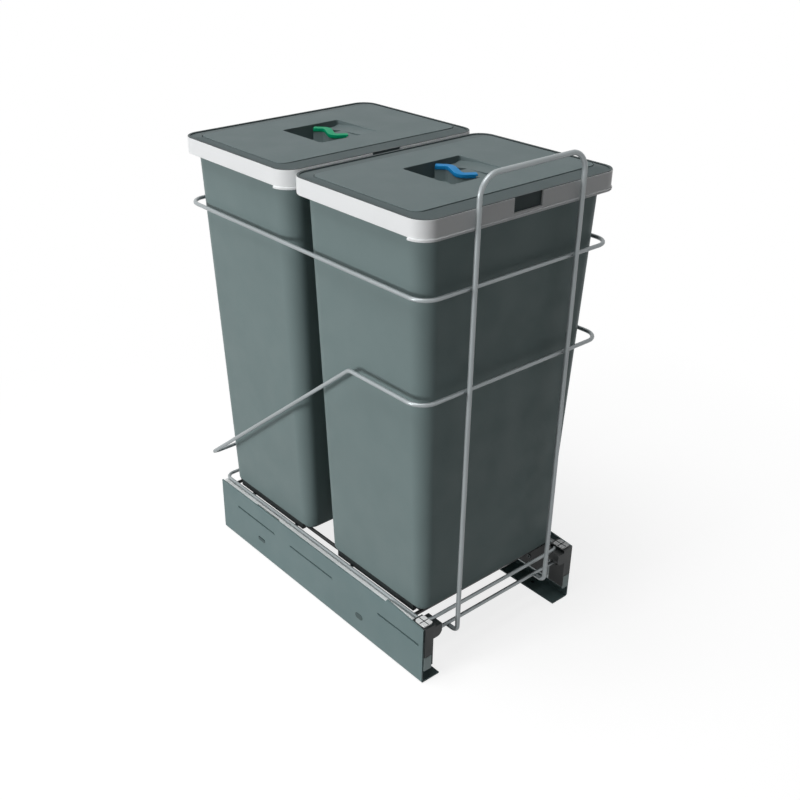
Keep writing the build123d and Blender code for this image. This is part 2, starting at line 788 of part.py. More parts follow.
for bin_name, centre_y in bins:
    with BuildPart() as lid:
        add(rounded_layer(centre_y, lid_seat, lid_half_width, lid_half_depth, lid_corner))
        extrude(amount=lid_edge - lid_seat)
        loft([
            rounded_layer(centre_y, lid_edge, foot_half_width, foot_half_depth, lid_corner),
            rounded_layer(centre_y, lid_top, panel_half_width, panel_half_depth, panel_corner),
        ], ruled=True)
        add(rounded_layer(centre_y, lid_seat, lid_half_width - lid_sheet, lid_half_depth - lid_sheet,
                          lid_corner - lid_sheet))
        extrude(amount=lid_edge - lid_sheet - lid_seat, mode=Mode.SUBTRACT)
        loft([
            rounded_layer(centre_y, lid_edge - lid_sheet, foot_half_width, foot_half_depth, lid_corner),
            rounded_layer(centre_y, lid_top - lid_sheet, panel_half_width, panel_half_depth, panel_corner),
        ], ruled=True, mode=Mode.SUBTRACT)
        # Groove in the flat border, round the foot of the raised panel
        with BuildSketch(Plane.XY.offset(lid_edge - lid_groove_depth)):
            with Locations((0, centre_y)):
                RectangleRounded(2 * (foot_half_width + lid_groove_width),
                                 2 * (foot_half_depth + lid_groove_width), lid_corner)
                RectangleRounded(2 * foot_half_width, 2 * foot_half_depth, lid_corner, mode=Mode.SUBTRACT)
        extrude(amount=lid_groove_depth, mode=Mode.SUBTRACT)
        # Recess: its walls hang below the panel, and are closed by a floor
        add(rounded_layer(centre_y, recess_floor - lid_sheet, recess_half_width + lid_sheet,
                          recess_half_depth + lid_sheet, recess_corner + lid_sheet))
        extrude(amount=recess_depth)
        add(rounded_layer(centre_y, recess_floor, recess_half_width, recess_half_depth, recess_corner))
        extrude(amount=recess_depth, mode=Mode.SUBTRACT)
        # Ramp on the thumb side of the grip, with a lower step in front
        with BuildSketch(section_plane(centre_y - recess_half_depth)):
            with BuildLine():
                Polyline(
                    (ramp_start, recess_floor),
                    (ramp_start, lid_top - ramp_depth),
                    (recess_half_width, lid_top - ramp_end_depth),
                    (recess_half_width, recess_floor),
                    close=True,
                )
            make_face()
        extrude(amount=-2 * recess_half_depth)
        with BuildSketch(Plane.XY.offset(recess_floor)):
            with Locations(((step_start + ramp_start) / 2, centre_y + (step_end - recess_half_depth) / 2)):
                Rectangle(ramp_start - step_start, step_end + recess_half_depth)
        extrude(amount=recess_depth - step_depth)
        # The grip itself, up to the seat of its marker
        add(grip_outline(centre_y, grip_width, marker_seat))
        extrude(amount=lid_top - marker_seat, mode=Mode.SUBTRACT)
        add(grip_outline(centre_y, grip_width, recess_floor))
        extrude(amount=marker_seat - recess_floor)
    save(lid, bin_name + "_lid")

    with BuildPart() as marker:
        add(grip_outline(centre_y, grip_width - marker_margin, marker_seat))
        extrude(amount=marker_sheet)
    save(marker, bin_name + "_lid_marker")
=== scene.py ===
import math

import bmesh
import bpy
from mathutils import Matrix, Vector


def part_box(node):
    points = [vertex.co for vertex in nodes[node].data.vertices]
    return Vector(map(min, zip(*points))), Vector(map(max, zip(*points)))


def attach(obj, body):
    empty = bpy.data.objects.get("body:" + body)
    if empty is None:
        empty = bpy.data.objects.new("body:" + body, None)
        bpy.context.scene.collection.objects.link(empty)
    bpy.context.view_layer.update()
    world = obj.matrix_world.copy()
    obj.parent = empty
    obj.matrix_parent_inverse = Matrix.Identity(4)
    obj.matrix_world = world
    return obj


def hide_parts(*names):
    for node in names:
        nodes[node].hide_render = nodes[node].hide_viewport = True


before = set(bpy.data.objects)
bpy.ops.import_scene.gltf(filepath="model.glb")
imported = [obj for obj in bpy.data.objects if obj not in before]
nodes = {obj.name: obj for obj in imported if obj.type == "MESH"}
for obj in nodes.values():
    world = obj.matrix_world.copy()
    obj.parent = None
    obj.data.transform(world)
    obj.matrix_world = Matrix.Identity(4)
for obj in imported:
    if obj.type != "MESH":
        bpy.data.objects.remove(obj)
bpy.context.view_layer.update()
SIDES = (("left", -1), ("right", 1))
MM = 0.001

# Brackets
# Two grey L brackets stand on the cabinet floor with their flanges turned in, held by screws
# whose near-black colour is painted shade. They are bent from 2 mm sheet with pressed beads,
# powder coated to a fine orange peel, and a dark oval in each of the two holes that reach the
# slide is painted shade for the dark inside the hole.


def shade(red, green, blue):
    """A colour picked on screen, 0 to 255, as the linear colour a material takes."""
    scaled = [value / 255 for value in (red, green, blue)]
    linear = [v / 12.92 if v <= 0.04045 else ((v + 0.055) / 1.055) ** 2.4 for v in scaled]
    return (*linear, 1.0)


def effect(name, inputs, outputs):
    """An empty shader node group with its sockets."""
    tree = bpy.data.node_groups.new(name, "ShaderNodeTree")
    for label, kind, value in inputs:
        tree.interface.new_socket(label, in_out="INPUT", socket_type=kind).default_value = value
    for label, kind in outputs:
        tree.interface.new_socket(label, in_out="OUTPUT", socket_type=kind)
    return tree, tree.nodes.new("NodeGroupInput"), tree.nodes.new("NodeGroupOutput")


def noise(tree, scale, detail, stretch=(1, 1, 1)):
    """A noise texture in the piece's own coordinates, drawn out along an axis if asked."""
    place = tree.nodes.new("ShaderNodeTexCoord")
    mapping = tree.nodes.new("ShaderNodeMapping")
    mapping.inputs["Scale"].default_value = stretch
    texture = tree.nodes.new("ShaderNodeTexNoise")
    texture.inputs["Detail"].default_value = detail
    tree.links.new(place.outputs["Object"], mapping.inputs["Vector"])
    tree.links.new(mapping.outputs["Vector"], texture.inputs["Vector"])
    if isinstance(scale, (int, float)):
        texture.inputs["Scale"].default_value = scale
    else:
        tree.links.new(scale, texture.inputs["Scale"])
    return texture.outputs["Fac"]


def ranged(tree, value, low, high, to_low, to_high):
    """The value moved from one range to another; the new ends may be numbers or sockets."""
    node = tree.nodes.new("ShaderNodeMapRange")
    tree.links.new(value, node.inputs["Value"])
    node.inputs["From Min"].default_value = low
    node.inputs["From Max"].default_value = high
    for socket, end in (("To Min", to_low), ("To Max", to_high)):
        if isinstance(end, (int, float)):
            node.inputs[socket].default_value = end
        else:
            tree.links.new(end, node.inputs[socket])
    return node.outputs["Result"]


def calculate(tree, operation, first, second):
    """One sum of two values, each a number or a socket."""
    node = tree.nodes.new("ShaderNodeMath")
    node.operation = operation
    for socket, value in zip(node.inputs, (first, second)):
        if isinstance(value, (int, float)):
            socket.default_value = value
        else:
            tree.links.new(value, socket)
    return node.outputs["Value"]


# Colour that drifts a little over the surface
uneven, start, end = effect(
    "uneven_colour",
    [("Colour", "NodeSocketColor", (0.5, 0.5, 0.5, 1)), ("Amount", "NodeSocketFloat", 0.05),
     ("Scale", "NodeSocketFloat", 9.0)],
    [("Colour", "NodeSocketColor")],
)
drift = ranged(uneven, noise(uneven, start.outputs["Scale"], 4), 0.3, 0.7, -1.0, 1.0)
factor = calculate(uneven, "ADD", calculate(uneven, "MULTIPLY", drift, start.outputs["Amount"]), 1.0)
tint = uneven.nodes.new("ShaderNodeVectorMath")
tint.operation = "SCALE"
uneven.links.new(start.outputs["Colour"], tint.inputs[0])
uneven.links.new(factor, tint.inputs["Scale"])
uneven.links.new(tint.outputs["Vector"], end.inputs["Colour"])

# Relief of a moulded grain, a powder coat or a rolled sheet
relief, start, end = effect(
    "fine_relief",
    [("Scale", "NodeSocketFloat", 900.0), ("Depth", "NodeSocketFloat", 0.0001)],
    [("Normal", "NodeSocketVector")],
)
bump = relief.nodes.new("ShaderNodeBump")
bump.inputs["Strength"].default_value = 0.6
relief.links.new(noise(relief, start.outputs["Scale"], 3), bump.inputs["Height"])
relief.links.new(start.outputs["Depth"], bump.inputs["Distance"])
relief.links.new(bump.outputs["Normal"], end.inputs["Normal"])

# Gloss that handling has rubbed up in places and left dull in others
rubbed, start, end = effect(
    "rubbed_gloss",
    [("Low", "NodeSocketFloat", 0.3), ("High", "NodeSocketFloat", 0.5), ("Scale", "NodeSocketFloat", 30.0)],
    [("Roughness", "NodeSocketFloat")],
)
patches = noise(rubbed, start.outputs["Scale"], 6)
gloss = ranged(rubbed, patches, 0.35, 0.65, start.outputs["Low"], start.outputs["High"])
rubbed.links.new(gloss, end.inputs["Roughness"])

# Dust that settles on faces that look up
dust, start, end = effect(
    "settled_dust", [("Amount", "NodeSocketFloat", 0.1)], [("Mask", "NodeSocketFloat")])
geometry = dust.nodes.new("ShaderNodeNewGeometry")
split = dust.nodes.new("ShaderNodeSeparateXYZ")
dust.links.new(geometry.outputs["Normal"], split.inputs["Vector"])
facing_up = ranged(dust, split.outputs["Z"], 0.6, 1.0, 0.0, 1.0)
specks = ranged(dust, noise(dust, 260.0, 8), 0.45, 0.75, 0.0, 1.0)
settled = calculate(dust, "MULTIPLY", facing_up, specks)
dust.links.new(calculate(dust, "MULTIPLY", settled, start.outputs["Amount"]), end.inputs["Mask"])


def use(tree, group, **values):
    """A node that runs one of the effects, with its inputs set."""
    node = tree.nodes.new("ShaderNodeGroup")
    node.node_tree = group
    for label, value in values.items():
        node.inputs[label].default_value = value
    return node


def finish(name, colour, metallic, gloss, grain, drift=0.05, dusty=0.1, coat=0.0, shine=0.5):
    """A finish: its colour, how metallic it is, roughness from low to high, grain scale and depth."""
    material = bpy.data.materials.new(name)
    material.use_nodes = True
    tree = material.node_tree
    surface = tree.nodes["Principled BSDF"]
    surface.inputs["Metallic"].default_value = metallic
    surface.inputs["Specular IOR Level"].default_value = shine
    surface.inputs["Coat Weight"].default_value = coat
    surface.inputs["Coat Roughness"].default_value = 0.15
    tinted = use(tree, uneven, Colour=colour, Amount=drift)
    mask = use(tree, dust, Amount=dusty)
    dusted = tree.nodes.new("ShaderNodeMix")
    dusted.data_type = "RGBA"
    dusted.inputs["B"].default_value = shade(176, 176, 172)
    tree.links.new(mask.outputs["Mask"], dusted.inputs["Factor"])
    tree.links.new(tinted.outputs["Colour"], dusted.inputs["A"])
    tree.links.new(dusted.outputs["Result"], surface.inputs["Base Color"])
    worn = use(tree, rubbed, Low=gloss[0], High=gloss[1])
    tree.links.new(worn.outputs["Roughness"], surface.inputs["Roughness"])
    texture = use(tree, relief, Scale=grain[0], Depth=grain[1])
    tree.links.new(texture.outputs["Normal"], surface.inputs["Normal"])
    return material


def dress(node, material):
    """Puts the finish on a CAD node."""
    mesh = nodes[node].data
    mesh.materials.clear()
    mesh.materials.append(material)


def fit(piece, body, material, slot_name, *stands_for):
    """Gives a piece its finish and its body, and takes the place of CAD nodes; slot_name is not used."""
    piece.data.materials.clear()
    piece.data.materials.append(material)
    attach(piece, body)
    if stands_for:
        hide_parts(*stands_for)


def skin(name, rings, closed=False):
    """A surface through rings of points, capped at both ends unless it closes on itself."""
    built = bmesh.new()
    rows = [[built.verts.new([value * MM for value in point]) for point in ring] for ring in rings]
    pairs = list(zip(rows, rows[1:])) + ([(rows[-1], rows[0])] if closed else [])
    for lower, upper in pairs:
        for number in range(len(lower)):
            after = (number + 1) % len(lower)
            built.faces.new((lower[number], lower[after], upper[after], upper[number]))
    if not closed:
        built.faces.new(rows[0])
        built.faces.new(rows[-1])
    bmesh.ops.recalc_face_normals(built, faces=built.faces)
    mesh = bpy.data.meshes.new(name)
    built.to_mesh(mesh)
    built.free()
    piece = bpy.data.objects.new(name, mesh)
    bpy.context.scene.collection.objects.link(piece)
    return piece


def block(name, low, high):
    """A square block between two corners in millimetres."""
    rings = [[(low[0], low[1], z), (high[0], low[1], z), (high[0], high[1], z), (low[0], high[1], z)]
             for z in (low[2], high[2])]
    return skin(name, rings)


def settle(piece):
    """Makes what the modifiers show the piece's own mesh."""
    graph = bpy.context.evaluated_depsgraph_get()
    mesh = bpy.data.meshes.new_from_object(piece.evaluated_get(graph))
    piece.modifiers.clear()
    piece.data = mesh


def soften(piece, width, segments=3):
    """Rounds the sharp edges and shades the flat faces flat."""
    bevel = piece.modifiers.new("rounded_edges", "BEVEL")
    bevel.width = width * MM
    bevel.segments = segments
    bevel.limit_method = "ANGLE"
    bevel.angle_limit = math.radians(35)
    even = piece.modifiers.new("even_shading", "WEIGHTED_NORMAL")
    even.keep_sharp = True
    piece.data.shade_smooth()
    settle(piece)


def oval(length, height, count=24):
    """The points of an oval with half-round ends, along and up from its middle."""
    radius = height / 2
    points = []
    for step in range(count):
        turn = math.radians(360 * (step + 0.5) / count)
        straight = math.copysign(length / 2 - radius, math.cos(turn))
        points.append((straight + radius * math.cos(turn), radius * math.sin(turn)))
    return points


bracket_paint = finish("bracket_paint", shade(112, 132, 133), 0.0, (0.46, 0.58), (1500.0, 0.00006),
                       drift=0.04, dusty=0.06, shine=0.25)
bead_shadow = finish("bead_shadow", shade(58, 73, 75), 0.0, (0.6, 0.7), (1500.0, 0.00006),
                     drift=0.04, dusty=0.0, shine=0.1)
# Dark colour for the ovals in the holes: painted shade for the dark inside an open hole.
painted_hole_shade = finish("painted_hole_shade", shade(60, 80, 80), 0.0, (0.4, 0.52), (1300.0, 0.00006),
                      drift=0.05, dusty=0.02, shine=0.3)
# Near-black screw colour: painted shade for the shaded flanges and webs the screws sit in.
screw_painted_shade = finish("screw_painted_shade", shade(58, 64, 66), 0.6, (0.2, 0.35), (300.0, 0.00002),
                     drift=0.04, dusty=0.0)

# Millimetres from here on. Places along the unit are counted from the brackets' front end.
FRONT = -225.0
PLATE_SKIN, BEAD_FACE, HOLE_SHADE_FACE = 137.2, 138.05, 138.4
BEAD_BOTTOM, BEAD_TOP = 57.2, 58.7
BEADS = ((8, 86), (183, 277), (317, 408))
HOLE_SHADE_LEVEL = 28.6
HOLE_SHADES = ((124.4, 15.0, 9.0), (350.0, 16.6, 5.1))
FLANGE_MIDDLE = 122
FLOOR_SCREWS = (50, 400)
SCREW_RADIUS, SCREW_BOTTOM, SCREW_TOP = 2.9, 0.2, 2.0

for side_name, side in SIDES:
    dress(side_name + "_bracket", bracket_paint)
    for number, (bead_start, bead_end) in enumerate(BEADS):
        line = block(f"{side_name}_bracket_bead_{number}",
                     (side * PLATE_SKIN, FRONT + bead_start, BEAD_BOTTOM),
                     (side * BEAD_FACE, FRONT + bead_end, BEAD_TOP))
        fit(line, "brackets", bead_shadow, "bracket_paint")
    # Dark ovals in the two holes that reach the slide, painted shade for the hole's dark inside.
    for place, length, height in HOLE_SHADES:
        outline = [(FRONT + place + along, HOLE_SHADE_LEVEL + up) for along, up in oval(length, height)]
        hole_shade = skin(f"{side_name}_bracket_hole_shade_{place:.0f}",
                    [[(side * depth, y, z) for y, z in outline] for depth in (PLATE_SKIN, HOLE_SHADE_FACE)])
        soften(hole_shade, 0.3, 2)
        fit(hole_shade, "brackets", painted_hole_shade, "bracket_paint")
    # Floor screws that fill the flange holes, near-black as painted shade.
    for place in FLOOR_SCREWS:
        turns = [math.radians(15 * step) for step in range(24)]
        screw = skin(f"{side_name}_floor_screw_{place}",
                     [[(side * FLANGE_MIDDLE + SCREW_RADIUS * math.cos(turn),
                        FRONT + place + SCREW_RADIUS * math.sin(turn), level) for turn in turns]
                      for level in (SCREW_BOTTOM, SCREW_TOP)])
        soften(screw, 0.3, 2)
        fit(screw, "brackets", screw_painted_shade, "bracket_paint")

# Telescopic slides
# Full-extension slides of zinc-plated sheet, rolled bright along their length.
# Two rows of hardened balls run in each pair of races, spaced by pressed cages; a rubber
# buffer takes the closing blow.
rail_zinc = finish("rail_zinc", shade(176, 184, 186), 0.75, (0.28, 0.42), (700.0, 0.00003),
                   drift=0.06, dusty=0.05)
cage_steel = finish("cage_steel", shade(160, 164, 160), 0.8, (0.35, 0.5), (500.0, 0.00003), dusty=0.0)
ball_steel = finish("ball_steel", shade(215, 218, 220), 1.0, (0.08, 0.16), (90.0, 0.00001),
                    drift=0.02, dusty=0.0)
buffer_rubber = finish("buffer_rubber", shade(34, 34, 34), 0.0, (0.65, 0.85), (900.0, 0.0001),
                       drift=0.08, dusty=0.15)
for side_name, _ in SIDES:
    for rail in ("outer_rail", "middle_rail", "inner_rail"):
        dress(f"{side_name}_{rail}", rail_zinc)
    for layer in ("outer", "inner"):
        dress(f"{side_name}_{layer}_ball_cage", cage_steel)
        dress(f"{side_name}_{layer}_balls", ball_steel)
    dress(side_name + "_buffer", buffer_rubber)

# Carriers
# Zinc-plated angles screwed to the inner rails; the frame's base ring lies on their flanges.
# Their near-white colour is bright zinc with a painted reflection. Pan-head screws, near-black as
# painted shade, hold them from the inside, under a black sheet on the web's front part that is
# painted shade where the bins keep the light off the web.
# Near-white diffuse colour: bright zinc with the reflection of its bright surroundings painted in.
sheet_zinc = finish("sheet_zinc", shade(250, 252, 252), 0.0, (0.36, 0.5), (420.0, 0.00005),
                    drift=0.06, dusty=0.04, shine=0.3)
# Black plastic of the couplings; the same finish colours the web sheet below as painted shade.
coupling_plastic = finish("coupling_plastic", shade(27, 32, 33), 0.0, (0.4, 0.54), (1300.0, 0.00008),
                          shine=0.35)
SHADE_SHEET_OUTER, SHADE_SHEET_INNER = 121.8, 120.9
SHADE_SHEET_LENGTH = 96
SHADE_SHEET_MARGIN, SHADE_SHEET_TOP_MARGIN = 0.5, 2
for side_name, side in SIDES:
    dress(side_name + "_carrier", sheet_zinc)
    # The carrier screws take the near-black painted-shade finish.
    dress(side_name + "_carrier_screws", screw_painted_shade)
    web_low, web_high = [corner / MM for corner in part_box(side_name + "_carrier")]
    # A thin black sheet over the front of each web: painted shade where the bins keep light off it.
    cover = block(side_name + "_web_shade_sheet",
                  (side * SHADE_SHEET_OUTER, web_low.y + SHADE_SHEET_MARGIN, web_low.z + SHADE_SHEET_MARGIN),
                  (side * SHADE_SHEET_INNER, web_low.y + SHADE_SHEET_LENGTH, web_high.z - SHADE_SHEET_TOP_MARGIN))
    soften(cover, 0.3, 2)
    fit(cover, "carriage", coupling_plastic, "coupling_plastic")

# Front couplings
# Black moulded blocks that hold the corners of the base ring and the ends of the lower wire.
# An apron covers the upper half of the slide's end and a zinc plate closes the lower half; a
# small pressed clip with two crossing grooves sits on top.
# The clip's near-white colour is its zinc with a painted reflection.
clip_zinc_painted_sheen = finish("clip_zinc_painted_sheen", shade(252, 253, 253), 0.0, (0.3, 0.42), (420.0, 0.00005),
                   drift=0.04, dusty=0.04)
plate_zinc = finish("plate_zinc", shade(120, 134, 134), 0.3, (0.36, 0.5), (420.0, 0.00005),
                    drift=0.06, dusty=0.02, shine=0.3)
groove_shadow = finish("groove_shadow", shade(62, 68, 70), 0.0, (0.6, 0.7), (900.0, 0.00005),
                       dusty=0.0, shine=0.1)
GROOVE_HALF = 0.65
GROOVES = (("long", GROOVE_HALF, 8.2), ("cross", 6.7, GROOVE_HALF))
GROOVE_BOTTOM, GROOVE_TOP = 0.7, 0.08
for side_name, _ in SIDES:
    dress(side_name + "_front_coupling", coupling_plastic)
    dress(side_name + "_end_plate", plate_zinc)
    dress(side_name + "_coupling_clip", clip_zinc_painted_sheen)
    clip_low, clip_high = [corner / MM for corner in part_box(side_name + "_coupling_clip")]
    middle = (clip_low + clip_high) / 2
    for name, reach_x, reach_y in GROOVES:
        groove = block(f"{side_name}_clip_groove_{name}",
                       (middle.x - reach_x, middle.y - reach_y, clip_high.z - GROOVE_BOTTOM),
                       (middle.x + reach_x, middle.y + reach_y, clip_high.z - GROOVE_TOP))
        fit(groove, "carriage", groove_shadow, "sheet_zinc")

# Wire frame
# Drawn steel wire, bent, welded where runs touch, then zinc plated: a base ring, a lower front
# wire, two rings that keep the bins upright, a tall front loop and a stay behind.


def bends(points, radii, closed=False, steps=10):
    """The points of straight runs joined by bends, one radius for each corner."""
    path = []
    count = len(points)
    for number, (point, radius) in enumerate(zip(points, radii)):
        corner = Vector(point)
        if not closed and number in (0, count - 1):
            path.append(corner)
            continue
        before = (Vector(points[number - 1]) - corner).normalized()
        after = (Vector(points[(number + 1) % count]) - corner).normalized()
        half = before.angle(after) / 2
        centre = corner + (before + after).normalized() * (radius / math.sin(half))
        first = corner + before * (radius / math.tan(half)) - centre
        last = corner + after * (radius / math.tan(half)) - centre
        turn = first.angle(last)
        for step in range(steps + 1):
            share = step / steps
            arc = first * math.sin((1 - share) * turn) + last * math.sin(share * turn)
            path.append(centre + arc / math.sin(turn))
    return path


def ring_path(half, front, rear, level, corner):
    """A level rounded rectangle."""
    corners = [(half, front, level), (half, rear, level), (-half, rear, level), (-half, front, level)]
    return bends(corners, [corner] * 4, closed=True)


def tube(name, path, radius, closed=False):
    """A round wire along a path given in millimetres."""
    curve = bpy.data.curves.new(name, "CURVE")
    curve.dimensions = "3D"
    curve.bevel_depth = radius * MM
    curve.bevel_resolution = 7
    curve.use_fill_caps = True
    spline = curve.splines.new("POLY")
    spline.points.add(len(path) - 1)
    for point, place in zip(spline.points, path):
        point.co = (*[value * MM for value in place], 1)
    spline.use_cyclic_u = closed
    drawn = bpy.data.objects.new(name + "_curve", curve)
    bpy.context.scene.collection.objects.link(drawn)
    graph = bpy.context.evaluated_depsgraph_get()
    mesh = bpy.data.meshes.new_from_object(drawn.evaluated_get(graph))
    bpy.data.objects.remove(drawn)
    piece = bpy.data.objects.new(name, mesh)
    bpy.context.scene.collection.objects.link(piece)
    mesh.shade_smooth()
    mesh.set_sharp_from_angle(angle=math.radians(50))
    return piece


wire_zinc = finish("wire_zinc", shade(166, 173, 175), 0.4, (0.32, 0.44), (600.0, 0.00003),
                   drift=0.06, dusty=0.02, shine=0.4)
HEAVY, LIGHT = 3.0, 2.5
BASE_HALF, BASE_FRONT, BASE_BEND = 124.5, FRONT + 12.5, 13
BASE_LEVEL, LOWER_LEVEL, LOWER_HALF = 82.5, 61, 118
RING_HALF, RING_BEND = 149, 22
RING_FRONT, RING_REAR = FRONT + 3.4, FRONT + 460.0
UPPER_LEVEL, GUARD_LEVEL, GUARD_REAR_LEVEL = 517, 395, 130
GUARD_TURN, GUARD_BEND = FRONT + 127, 12
LEG = 81
LOOP_Y, LOOP_TOP = RING_FRONT - LIGHT - HEAVY, 638.5
FOOT_LEVEL, FOOT_END = LOWER_LEVEL - LIGHT - HEAVY, LOOP_Y + 19
STAY_Y = RING_REAR + LIGHT + HEAVY

base_path = ring_path(BASE_HALF, BASE_FRONT, RING_REAR, BASE_LEVEL, BASE_BEND)
base_ring = tube("base_ring_wire", base_path, LIGHT, True)
fit(base_ring, "carriage", wire_zinc, "wire_zinc", "base_ring")

upper_path = ring_path(RING_HALF, RING_FRONT, RING_REAR, UPPER_LEVEL, RING_BEND)
upper_ring = tube("upper_ring_wire", upper_path, LIGHT, True)
fit(upper_ring, "carriage", wire_zinc, "wire_zinc", "upper_ring")

guard_corners = [(RING_HALF, RING_FRONT, GUARD_LEVEL), (RING_HALF, GUARD_TURN, GUARD_LEVEL),
                 (RING_HALF, RING_REAR, GUARD_REAR_LEVEL), (-RING_HALF, RING_REAR, GUARD_REAR_LEVEL),
                 (-RING_HALF, GUARD_TURN, GUARD_LEVEL), (-RING_HALF, RING_FRONT, GUARD_LEVEL)]
guard_radii = [RING_BEND, GUARD_BEND, RING_BEND, RING_BEND, GUARD_BEND, RING_BEND]
guard_ring = tube("guard_ring_wire", bends(guard_corners, guard_radii, closed=True), LIGHT, True)
fit(guard_ring, "carriage", wire_zinc, "wire_zinc", "guard_ring")

lower_path = [(-LOWER_HALF, BASE_FRONT, LOWER_LEVEL), (LOWER_HALF, BASE_FRONT, LOWER_LEVEL)]
lower_wire = tube("lower_front_wire_wire", lower_path, LIGHT)
fit(lower_wire, "carriage", wire_zinc, "wire_zinc", "lower_front_wire")

loop_corners = [(-LEG, FOOT_END, FOOT_LEVEL), (-LEG, LOOP_Y, FOOT_LEVEL), (-LEG, LOOP_Y, LOOP_TOP),
                (LEG, LOOP_Y, LOOP_TOP), (LEG, LOOP_Y, FOOT_LEVEL), (LEG, FOOT_END, FOOT_LEVEL)]
front_loop = tube("front_loop_wire", bends(loop_corners, [0, 8, 24, 24, 8, 0]), HEAVY)
fit(front_loop, "carriage", wire_zinc, "wire_zinc", "front_loop")

stay_corners = [(-LEG, STAY_Y, BASE_LEVEL), (-LEG, STAY_Y, UPPER_LEVEL),
                (LEG, STAY_Y, UPPER_LEVEL), (LEG, STAY_Y, BASE_LEVEL)]
rear_stay = tube("rear_stay_wire", bends(stay_corners, [0, 18, 18, 0]), HEAVY)
fit(rear_stay, "carriage", wire_zinc, "wire_zinc", "rear_stay")


def weld_beads(name, places, size):
    """Small weld beads, one at each place, as one piece."""
    grown = bmesh.new()
    for place in places:
        made = bmesh.ops.create_uvsphere(grown, u_segments=14, v_segments=8, radius=size * MM)
        bmesh.ops.translate(grown, verts=made["verts"], vec=[value * MM for value in place])
    mesh = bpy.data.meshes.new(name)
    grown.to_mesh(mesh)
    grown.free()
    mesh.shade_smooth()
    piece = bpy.data.objects.new(name, mesh)
    bpy.context.scene.collection.objects.link(piece)
    return piece


weld_places = []
for leg in (-LEG, LEG):
    weld_places += [(leg, RING_FRONT - LIGHT, UPPER_LEVEL), (leg, RING_FRONT - LIGHT, GUARD_LEVEL),
                    (leg, BASE_FRONT, LOWER_LEVEL - LIGHT), (leg, RING_REAR + LIGHT, GUARD_REAR_LEVEL),
                    (leg, RING_REAR + LIGHT, BASE_LEVEL + 1)]
welds = weld_beads("frame_welds", weld_places, 1.9)
fit(welds, "carriage", wire_zinc, "wire_zinc")

# Coated grid
# Rods welded into a grid and dipped in black plastic, which has left them thick and glossy.
# Its cross bars end at the carriers' webs, and the bins stand on its long runs.
grid_coating = finish("grid_coating", shade(30, 33, 34), 0.0, (0.2, 0.32), (240.0, 0.00008), coat=0.3)
dress("bin_grid", grid_coating)

# Bins
# Two tall tapered tubs in grey plastic with a fine moulded grain, one behind the other.
# Each has a flat rim and a set-in foot; two dark strips under its step, which straddle the grid,
# are painted shade beneath the tub.


def rounded(half_x, half_y, corner, level, centre_y, steps=10):
    """The points of a rounded rectangle in millimetres, lying level."""
    points = []
    for quarter, (sign_x, sign_y) in enumerate(((1, 1), (-1, 1), (-1, -1), (1, -1))):
        for step in range(steps + 1):
            angle = math.radians(90 * quarter + 90 * step / steps)
            points.append((sign_x * (half_x - corner) + corner * math.cos(angle),
                           centre_y + sign_y * (half_y - corner) + corner * math.sin(angle), level))
    return points


def moulding(name, profile, centre_y, closed=False):
    """A piece of rounded rectangles: half width, half depth, corner radius and level of each."""
    return skin(name, [rounded(*ring, centre_y) for ring in profile], closed)


BINS = (("front", FRONT + 115.8), ("rear", FRONT + 115.8 + 232.3))
TUB = ((114.5, 88.3, 12, 85.0), (114.5, 88.3, 12, 91.0), (119.5, 93.3, 17, 91.0), (143, 102.5, 24, 582),
       (150.1, 109.5, 19.7, 582), (150.1, 109.5, 19.7, 584), (140.8, 100.3, 21.8, 584),
       (117.3, 91.1, 14.8, 93.2), (112.3, 86.1, 9.8, 93.2), (112.3, 86.1, 9.8, 87.6))
FOOT_SHADE_INNER, FOOT_SHADE_OUTER, FOOT_SHADE_HALF = 113, 119, 76.3
FOOT_SHADE_BOTTOM, FOOT_SHADE_TOP = 80.9, 91.5
bin_plastic = finish("bin_plastic", shade(115, 132, 132), 0.0, (0.46, 0.58), (1100.0, 0.00009),
                     drift=0.03, dusty=0.05, shine=0.25)
# Near-black strips under the tub's step: painted shade where the foot is set in.
painted_foot_shade = finish("painted_foot_shade", shade(24, 30, 31), 0.0, (0.5, 0.62), (1100.0, 0.00009),
                        dusty=0.05)
for bin_name, centre_y in BINS:
    tub = moulding(bin_name + "_tub_shell", TUB, centre_y)
    soften(tub, 0.8)
    fit(tub, bin_name + "_tub", bin_plastic, "bin_plastic", bin_name + "_bin")
    for side_name, side in SIDES:
        # A dark strip along each side of the foot, painted shade under the step.
        foot_shade = block(f"{bin_name}_bin_{side_name}_runner",
                       (side * FOOT_SHADE_INNER, centre_y - FOOT_SHADE_HALF, FOOT_SHADE_BOTTOM),
                       (side * FOOT_SHADE_OUTER, centre_y + FOOT_SHADE_HALF, FOOT_SHADE_TOP))
        soften(foot_shade, 0.6, 2)
        fit(foot_shade, bin_name + "_tub", painted_foot_shade, "bin_plastic")

# Bag rings
# Light grey rings that hold the bag's mouth: an outer band, a shelf that sits on the rim and a
# skirt inside the tub, with a notch in the front for a finger tip over a small ledge.


def cut(piece, low, high):
    """Takes a box, given by two corners in millimetres, out of a piece."""
    cutter = block("cutter", low, high)
    hole = piece.modifiers.new("hole", "BOOLEAN")
    hole.operation = "DIFFERENCE"
    hole.solver = "EXACT"
    hole.object = cutter
    settle(piece)
    bpy.data.objects.remove(cutter)


def ribbon(name, path, width, bottom, top):
    """A wall of even width that follows a path seen from above."""
    left, right = [], []
    for number, place in enumerate(path):
        ahead = path[min(number + 1, len(path) - 1)] - path[max(number - 1, 0)]
        across = Vector((-ahead.y, ahead.x, 0)).normalized() * width / 2
        left.append(place + across)
        right.append(place - across)
    outline = left + right[::-1]
    rings = [[(point.x, point.y, level) for point in outline] for level in (bottom, top)]
    return skin(name, rings)


